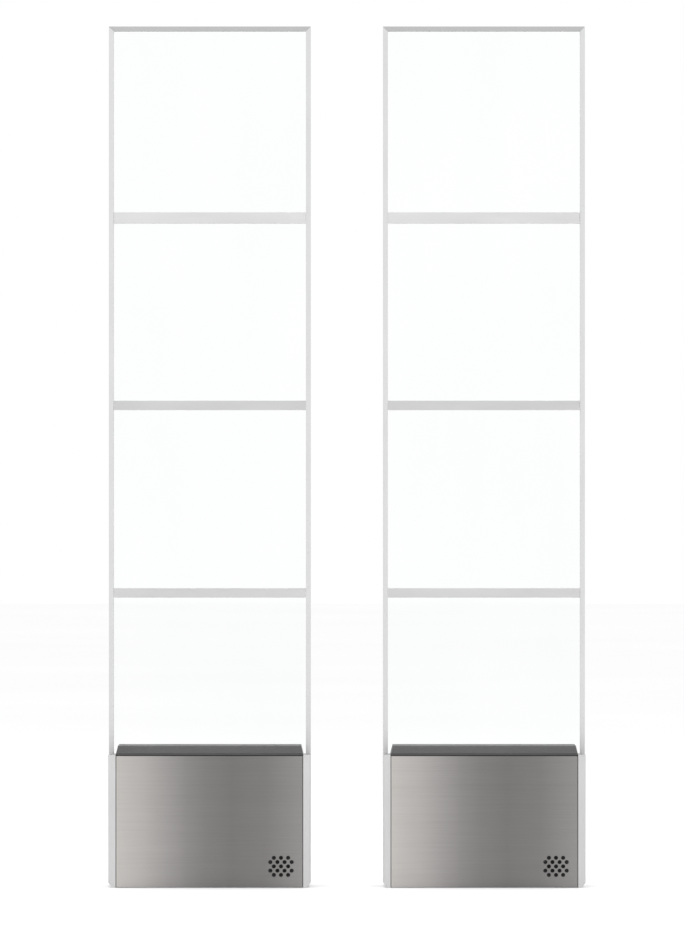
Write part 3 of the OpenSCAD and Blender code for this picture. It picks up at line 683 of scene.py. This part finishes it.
def capacitor(name, x, z, face_y):
    """An electrolytic can: a crimped sleeve, its lid, and the crossed vent in the lid."""
    radius, height = 6 * MM, 20 * MM
    sleeve_top, lid_foot = -height + 0.2 * MM, -height + 0.3 * MM
    crimp_wide, crimp_narrow = radius * 0.96, radius * 0.9
    lid_radius, opening = radius * 0.8, radius * 0.82
    vent_long, vent_wide, vent_deep = radius * 1.2, 0.35 * MM, 0.1 * MM
    sleeve = [
        (0, 0), (crimp_wide, 0), (crimp_wide, -1.2 * MM), (crimp_narrow, -1.8 * MM),
        (radius, -2.6 * MM), (radius, -height + 0.8 * MM), (radius - 0.5 * MM, sleeve_top),
        (opening, sleeve_top), (0, sleeve_top),
    ]
    lid = [(0, lid_foot), (lid_radius, lid_foot), (lid_radius, -height), (0, -height)]
    make(name, lathe(sleeve, Y, (x, face_y, z), 40), SLEEVE)
    make(name + "_lid", lathe(lid, Y, (x, face_y, z), 40), ALUMINIUM)
    vents = [block_at((x, face_y - height, z), (vent_long, vent_deep, vent_wide)),
             block_at((x, face_y - height, z), (vent_wide, vent_deep, vent_long))]
    make(name + "_vent", joined(vents), BLACK)


def small_parts(side, low, high, face_y):
    """Rows of chip resistors with tinned ends, in the free fields of the board."""
    across, down = 5.2 * MM, 4.6 * MM
    body = (1.5 * MM, 0.8 * MM, 1.3 * MM)
    end = (0.5 * MM, 0.84 * MM, 1.35 * MM)
    # Each field: millimetres right of the board's left side and below its top, columns, rows
    fields = [(14, 18, 7, 5), (116, 16, 4, 8), (78, 64, 1, 4), (80, 84, 8, 4), (60, 110, 12, 2)]
    bodies, ends = [], []
    for right, drop, columns, rows in fields:
        for i in range(columns):
            for j in range(rows):
                x = low[X] + right * MM + across * i
                z = high[Z] - drop * MM - down * j
                bodies.append(block_at((x, face_y - body[Y] / 2, z), body))
                for end_x in about(x, 1 * MM):
                    ends.append(block_at((end_x, face_y - end[Y] / 2, z), end))
    make(f"{side}_chip_resistors", joined(bodies), CERAMIC)
    make(f"{side}_tinned_ends", joined(ends), BRIGHT_ZINC)


def socketed(side, name, centre_x, centre_z, face_y, size, bore, lip):
    """A control's housing on the board: a block with a true round bore towards the front."""
    half = size[X] / 2
    front = face_y - size[Y]
    bore_floor = face_y - 0.3 * MM
    steps = 32
    # Radius, place along Y, and whether the ring is stretched into a square
    outline = [(half, face_y, True), (half, front, True), (bore + lip, front, False),
               (bore, front + lip, False), (bore, bore_floor, False)]
    bm = bmesh.new()
    rings = []
    for radius, y, square in outline:
        ring = []
        for i in range(steps):
            turn = 2 * math.pi * (i + 0.5) / steps
            dx, dz = math.cos(turn), math.sin(turn)
            if square:
                grow = 1 / max(abs(dx), abs(dz))
                dx, dz = dx * grow, dz * grow
            ring.append(bm.verts.new((centre_x + radius * dx, y, centre_z + radius * dz)))
        rings.append(ring)
    for first, second in zip(rings, rings[1:]):
        for i in range(steps):
            j = (i + 1) % steps
            bm.faces.new((first[i], first[j], second[j], second[i]))
    bm.faces.new(rings[0])
    bm.faces.new(rings[-1])
    bmesh.ops.recalc_face_normals(bm, faces=bm.faces)
    piece = make(f"{side}_{name}", bm, BLACK)
    piece.data.set_sharp_from_angle(angle=math.radians(35))


def chips(side, middle_x, top, face_y):
    """The main chip and the small one."""
    # Each: millimetres right of the board's middle and below its top, its size, and legs a side
    layout = [(22, 34, (20, 2.6, 22), 14), (18, 72, (12, 2.2, 10), 7)]
    bodies, legs = [], []
    for right, drop, size, count in layout:
        size = tuple(s * MM for s in size)
        body, pins = chip(middle_x + right * MM, top - drop * MM, face_y, size, count)
        bodies.append(body)
        legs += pins
    make(f"{side}_chips", joined(bodies), BLACK)
    make(f"{side}_chip_legs", joined(legs), BRIGHT_ZINC)


def lead_terminals(side, low, high, face_y):
    """The two blocks where the loop's leads end, with a pair of screws on each."""
    z = high[Z] - LEAD_BLOCK[Z] / 2
    blocks, screws = [], []
    for x in (low[X] + LEAD_IN, high[X] - LEAD_IN):
        body = block_at((x, face_y - LEAD_BLOCK[Y] / 2, z), LEAD_BLOCK)
        blocks.append(rounded(body, 0.5 * MM))
        for screw_x in about(x, 3 * MM):
            screws.append(screw_head((screw_x, face_y - LEAD_BLOCK[Y], z), 1.9 * MM, 0.5 * MM))
    make(f"{side}_lead_terminals", joined(blocks), TERMINAL)
    make(f"{side}_lead_terminal_screws", joined(screws), BRIGHT_ZINC)


def circuit_board(side):
    """The laminate and everything soldered to its front."""
    name = f"{side}_circuit_board"
    low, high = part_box(name)
    face_y = high[Y] - BOARD_SHEET
    middle_x = (low[X] + high[X]) / 2
    slab = spanned((low[X], high[X]), (face_y, high[Y]), (low[Z], high[Z]))
    make(name + "_laminate", rounded(slab, 0.2 * MM, 2), MASK, replaces=[name])
    cans, can_x, can_drop, can_pitch = 3, middle_x - 8 * MM, 30 * MM, 24 * MM
    for i in range(cans):
        capacitor(f"{side}_capacitor_{i + 1}", can_x, high[Z] - can_drop - can_pitch * i, face_y)
    chips(side, middle_x, high[Z], face_y)
    lead_terminals(side, low, high, face_y)
    plug_centre = (high[X] - PLUG[X] / 2, face_y - PLUG[Y] / 2, high[Z] - PLUG_DROP)
    plug = rounded(block_at(plug_centre, PLUG), 0.6 * MM)
    make(f"{side}_power_plug", plug, DIAL_WHITE)
    controls_x = high[X] - 16 * MM
    dial_z, button_z = high[Z] - 68 * MM, high[Z] - 96 * MM
    dial_size, button_size = (12 * MM, 6 * MM), (12 * MM, 5 * MM)
    socketed(side, "dial_housing", controls_x, dial_z, face_y, dial_size, 1.55 * MM, 0.2 * MM)
    socketed(side, "button_housing", controls_x, button_z, face_y, button_size, 3.05 * MM, 0.3 * MM)
    small_parts(side, low, high, face_y)


def screw_head(centre, radius, height):
    """A cheese head with a slot, its face towards the front."""
    slot_reach, slot_half = radius * 0.8, radius * 0.11
    face_y = centre[Y] - height
    profile = [(0, 0), (radius, 0), (radius, -height * 0.7), (radius * 0.9, -height), (0, -height)]
    head = lathe(profile, Y, centre, 24)
    slot_depth = (face_y - 0.05 * MM, face_y + height * 0.1)
    slot = spanned(about(centre[X], slot_reach), slot_depth, about(centre[Z], slot_half))
    return joined([head, slot])


def heat_sink(side):
    """A comb of fins on a plate, drawn from one outline."""
    name = f"{side}_heat_sink"
    low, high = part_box(name)
    fins = 7
    fin_t = 1.8 * MM
    plate_y = high[Y] - 4 * MM
    step = (high[X] - low[X] - fin_t) / (fins - 1)
    outline = [(low[X], high[Y])]
    for i in range(fins):
        x = low[X] + i * step
        outline += [(x, plate_y), (x, low[Y]), (x + fin_t, low[Y]), (x + fin_t, plate_y)]
    outline.append((high[X], high[Y]))
    comb = rounded(prism(outline, Z, low[Z], high[Z]), 0.3 * MM, 2)
    make(name + "_comb", comb, ALUMINIUM, replaces=[name])


def transformer(side):
    """Core stack, bobbin with taped winding, and a strap with two ears."""
    name = f"{side}_transformer"
    low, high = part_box(name)
    centre = (low + high) / 2
    core_half, core_depth = 30 * MM, (low[Y] + 4 * MM, low[Y] + 24 * MM)
    strap_t = 1.5 * MM
    strap_height = about(centre[Z], 20 * MM)
    leg_depth = (low[Y] + 1 * MM, low[Y] + 24.8 * MM)
    winding_depth = (low[Y] + 1 * MM, high[Y] - 0.6 * MM)
    lip_size = (33 * MM, high[Y] - low[Y] - 4 * MM, 1.4 * MM)
    core = rounded(spanned(about(centre[X], core_half), core_depth, (low[Z], high[Z])), 0.6 * MM)
    foot = spanned((low[X], high[X]), (low[Y], low[Y] + strap_t), strap_height)
    strap = [rounded(foot, 0.4 * MM, 2)]
    for x in (centre[X] - core_half - strap_t, centre[X] + core_half):
        strap.append(rounded(spanned((x, x + strap_t), leg_depth, strap_height), 0.4 * MM, 2))
    winding = spanned(about(centre[X], 15 * MM), winding_depth, about(centre[Z], 18 * MM))
    lips = []
    for z in about(centre[Z], 17.5 * MM):
        lips.append(rounded(block_at((centre[X], centre[Y] + 2 * MM, z), lip_size), 0.4 * MM, 2))
    make(name + "_core", core, LAMINATED, replaces=[name])
    make(name + "_strap", joined(strap), ZINC)
    make(name + "_winding", rounded(winding, 2.5 * MM, 4), TAPE)
    make(name + "_bobbin", joined(lips), BLACK)


def dial_pointer(side):
    """The painted mark in the dial's groove; it turns with the dial."""
    low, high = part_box(f"{side}_volume_dial")
    centre = (low + high) / 2
    groove_y = low[Y] + 1.0 * MM
    depth = (groove_y - 0.25 * MM, groove_y + 0.1 * MM)
    length = (centre[Z] + 1.4 * MM, centre[Z] + 6.6 * MM)
    mark = rounded(spanned(about(centre[X], 0.45 * MM), depth, length), 0.12 * MM, 2)
    make(f"{side}_dial_pointer", mark, BLACK, body=f"{side}_volume_dial")


def terminal_screws(side):
    """A slotted screw in each pole of the terminal block, facing the rear."""
    low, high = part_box(f"{side}_terminal_block")
    poles = 4
    pitch = (high[X] - low[X]) / poles
    seat_y = high[Y] - 3.6 * MM
    heads = []
    for i in range(poles):
        x = low[X] + (i + 0.5) * pitch
        head = screw_head((x, 0, (low[Z] + high[Z]) / 2), 2.2 * MM, 0.8 * MM)
        bmesh.ops.scale(head, vec=(1, -1, 1), verts=head.verts)
        bmesh.ops.reverse_faces(head, faces=head.faces)
        bmesh.ops.translate(head, vec=(0, seat_y, 0), verts=head.verts)
        heads.append(head)
    make(f"{side}_terminal_screws", joined(heads), BRIGHT_ZINC)


def wiring(side):
    """Leads between terminal block, switch, transformer and board, on the routes of the CAD wires."""
    switch_low, switch_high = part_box(f"{side}_power_switch")
    core_low, core_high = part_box(f"{side}_transformer")
    core_centre = (core_low + core_high) / 2
    block_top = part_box(f"{side}_terminal_block")[1][Z]
    board_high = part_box(f"{side}_circuit_board")[1]
    web_y = switch_low[Y]
    supply_y, switched_y, board_supply_y = web_y + 9 * MM, web_y + 14 * MM, web_y + 18 * MM
    switch_x, switch_z = (switch_low[X] + switch_high[X]) / 2, (switch_low[Z] + switch_high[Z]) / 2
    switched_x = core_centre[X] + 22 * MM
    core_right = core_centre[X] + 30 * MM
    tap_z = core_centre[Z] - 10 * MM
    pass_x = core_centre[X] + 125 * MM
    pass_z = board_high[Z] - PLUG_DROP
    plug_y = board_high[Y] - BOARD_SHEET - PLUG[Y] / 2
    routes = {
        "supply": (WIRE_BLACK, [
            (switch_x, supply_y, block_top), (switch_x, supply_y, switch_low[Z]),
        ]),
        "switched": (WIRE_BLUE, [
            (switch_low[X], switched_y, switch_z), (switched_x, switched_y, switch_z),
            (switched_x, switched_y, core_high[Z]),
        ]),
        "board": (WIRE_RED, [
            (core_right, board_supply_y, tap_z), (pass_x, board_supply_y, tap_z),
            (pass_x, board_supply_y, pass_z), (pass_x, plug_y, pass_z),
            (board_high[X], plug_y, pass_z),
        ]),
    }
    for key, (material, route) in routes.items():
        replaces = ["internal_wiring"] if key == "supply" else ()
        name = f"{side}_{key}_wire"
        tube(name, route, WIRE_RADIUS, 7 * MM, material, replaces=replaces)


# ---- The object ----

# CAD nodes that are shown as they are: material, and millimetres of broken edge
CAD_FINISHES = {
    "base_plate": (ZINC, 0.5),
    "cable_grommet": (RUBBER, 0.6),
    "acrylic_panel": (ACRYLIC, 0.6),
    "front_clamp_bracket": (ZINC, 0.3),
    "rear_clamp_bracket": (ZINC, 0.3),
    "left_end_cap": (CAP_GREY, 0.5),
    "right_end_cap": (CAP_GREY, 0.5),
    "front_top_trim": (TRIM_DARK, 0.8),
    "rear_top_trim": (TRIM_DARK, 0.8),
    "speaker_frame": (BASKET, 0.3),
    "speaker_cone": (PAPER, 0),
    "terminal_block": (TERMINAL, 0.5),
    "power_switch": (BLACK, 0.5),
    "power_rocker": (RED, 0.4),
    "volume_dial": (DIAL_WHITE, 0.3),
    "test_button": (RED, 0.5),
}
for side in SIDES:
    for part, (material, soften) in CAD_FINISHES.items():
        finish_node(f"{side}_{part}", material, soften * MM)
    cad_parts[f"{side}_acrylic_panel"].visible_shadow = False
    for which in ("front", "rear"):
        folded_cover(side, which)
    cover_studs(side)
    for which in ("left", "right", "top"):
        edge_channel(side, which)
    for which in ("upper", "middle", "lower"):
        crossbar(side, which)
    antenna(side)
    circuit_board(side)
    heat_sink(side)
    transformer(side)
    terminal_screws(side)
    dial_pointer(side)
    wiring(side)
finish_node("clamp_fasteners", BRIGHT_ZINC, 0.3 * MM)
finish_node("clamp_gaskets", RUBBER)
finish_node("frame_screws", BRIGHT_ZINC, 0.4 * MM)


# ---- Floor, light and camera ----

def pale_stage():
    """A floor far wider than the view."""
    half = 30.0
    bm = bmesh.new()
    corners = ((-half, -half, 0), (half, -half, 0), (half, half, 0), (-half, half, 0))
    bm.faces.new([bm.verts.new(p) for p in corners])
    floor = added("pale_floor", bm, pale_floor(), smooth=False)


def soft_box(name, position, aim, size, power):
    """A rectangular lamp that faces a point."""
    light = bpy.data.lights.new(name, "AREA")
    light.shape = "RECTANGLE"
    light.size, light.size_y = size
    light.energy = power
    lamp = linked(name, light)
    lamp.location = position
    lamp.rotation_euler = (Vector(aim) - Vector(position)).to_track_quat("-Z", "Y").to_euler()


def white_world():
    """A white surround, the same from every side."""
    world = bpy.data.worlds.new("white_surround")
    world.use_nodes = True
    bpy.context.scene.world = world
    background = next(n for n in world.node_tree.nodes if n.type == "BACKGROUND")
    background.inputs["Color"].default_value = (1.0, 1.0, 1.0, 1.0)
    background.inputs["Strength"].default_value = 1.0


def studio_camera():
    """Square on to the front from far off, so that the two pedestals look the same."""
    view_height = 1.692
    sensor, lens = 36.0, 300.0
    aim = Vector((-0.0088, -0.04, 0.7496))
    data = bpy.data.cameras.new("front_view")
    data.sensor_width = sensor
    data.lens = lens
    camera = linked("front_view", data)
    camera.location = aim - Vector((0, view_height * lens / sensor, 0))
    camera.rotation_euler = (math.radians(90), 0, 0)
    bpy.context.scene.camera = camera


pale_stage()
white_world()
soft_box("key_light", position=(-2.4, -3.2, 3.4), aim=(0, 0, 0.7), size=(2.2, 2.2), power=28)
soft_box("fill_light", position=(3.0, -2.4, 2.2), aim=(0, 0, 0.6), size=(2.0, 2.6), power=8)
soft_box("top_light", position=(0, 0.4, 4.6), aim=(0, 0, 0), size=(3.2, 2.0), power=60)
studio_camera()
bpy.context.scene.view_settings.view_transform = "Standard"
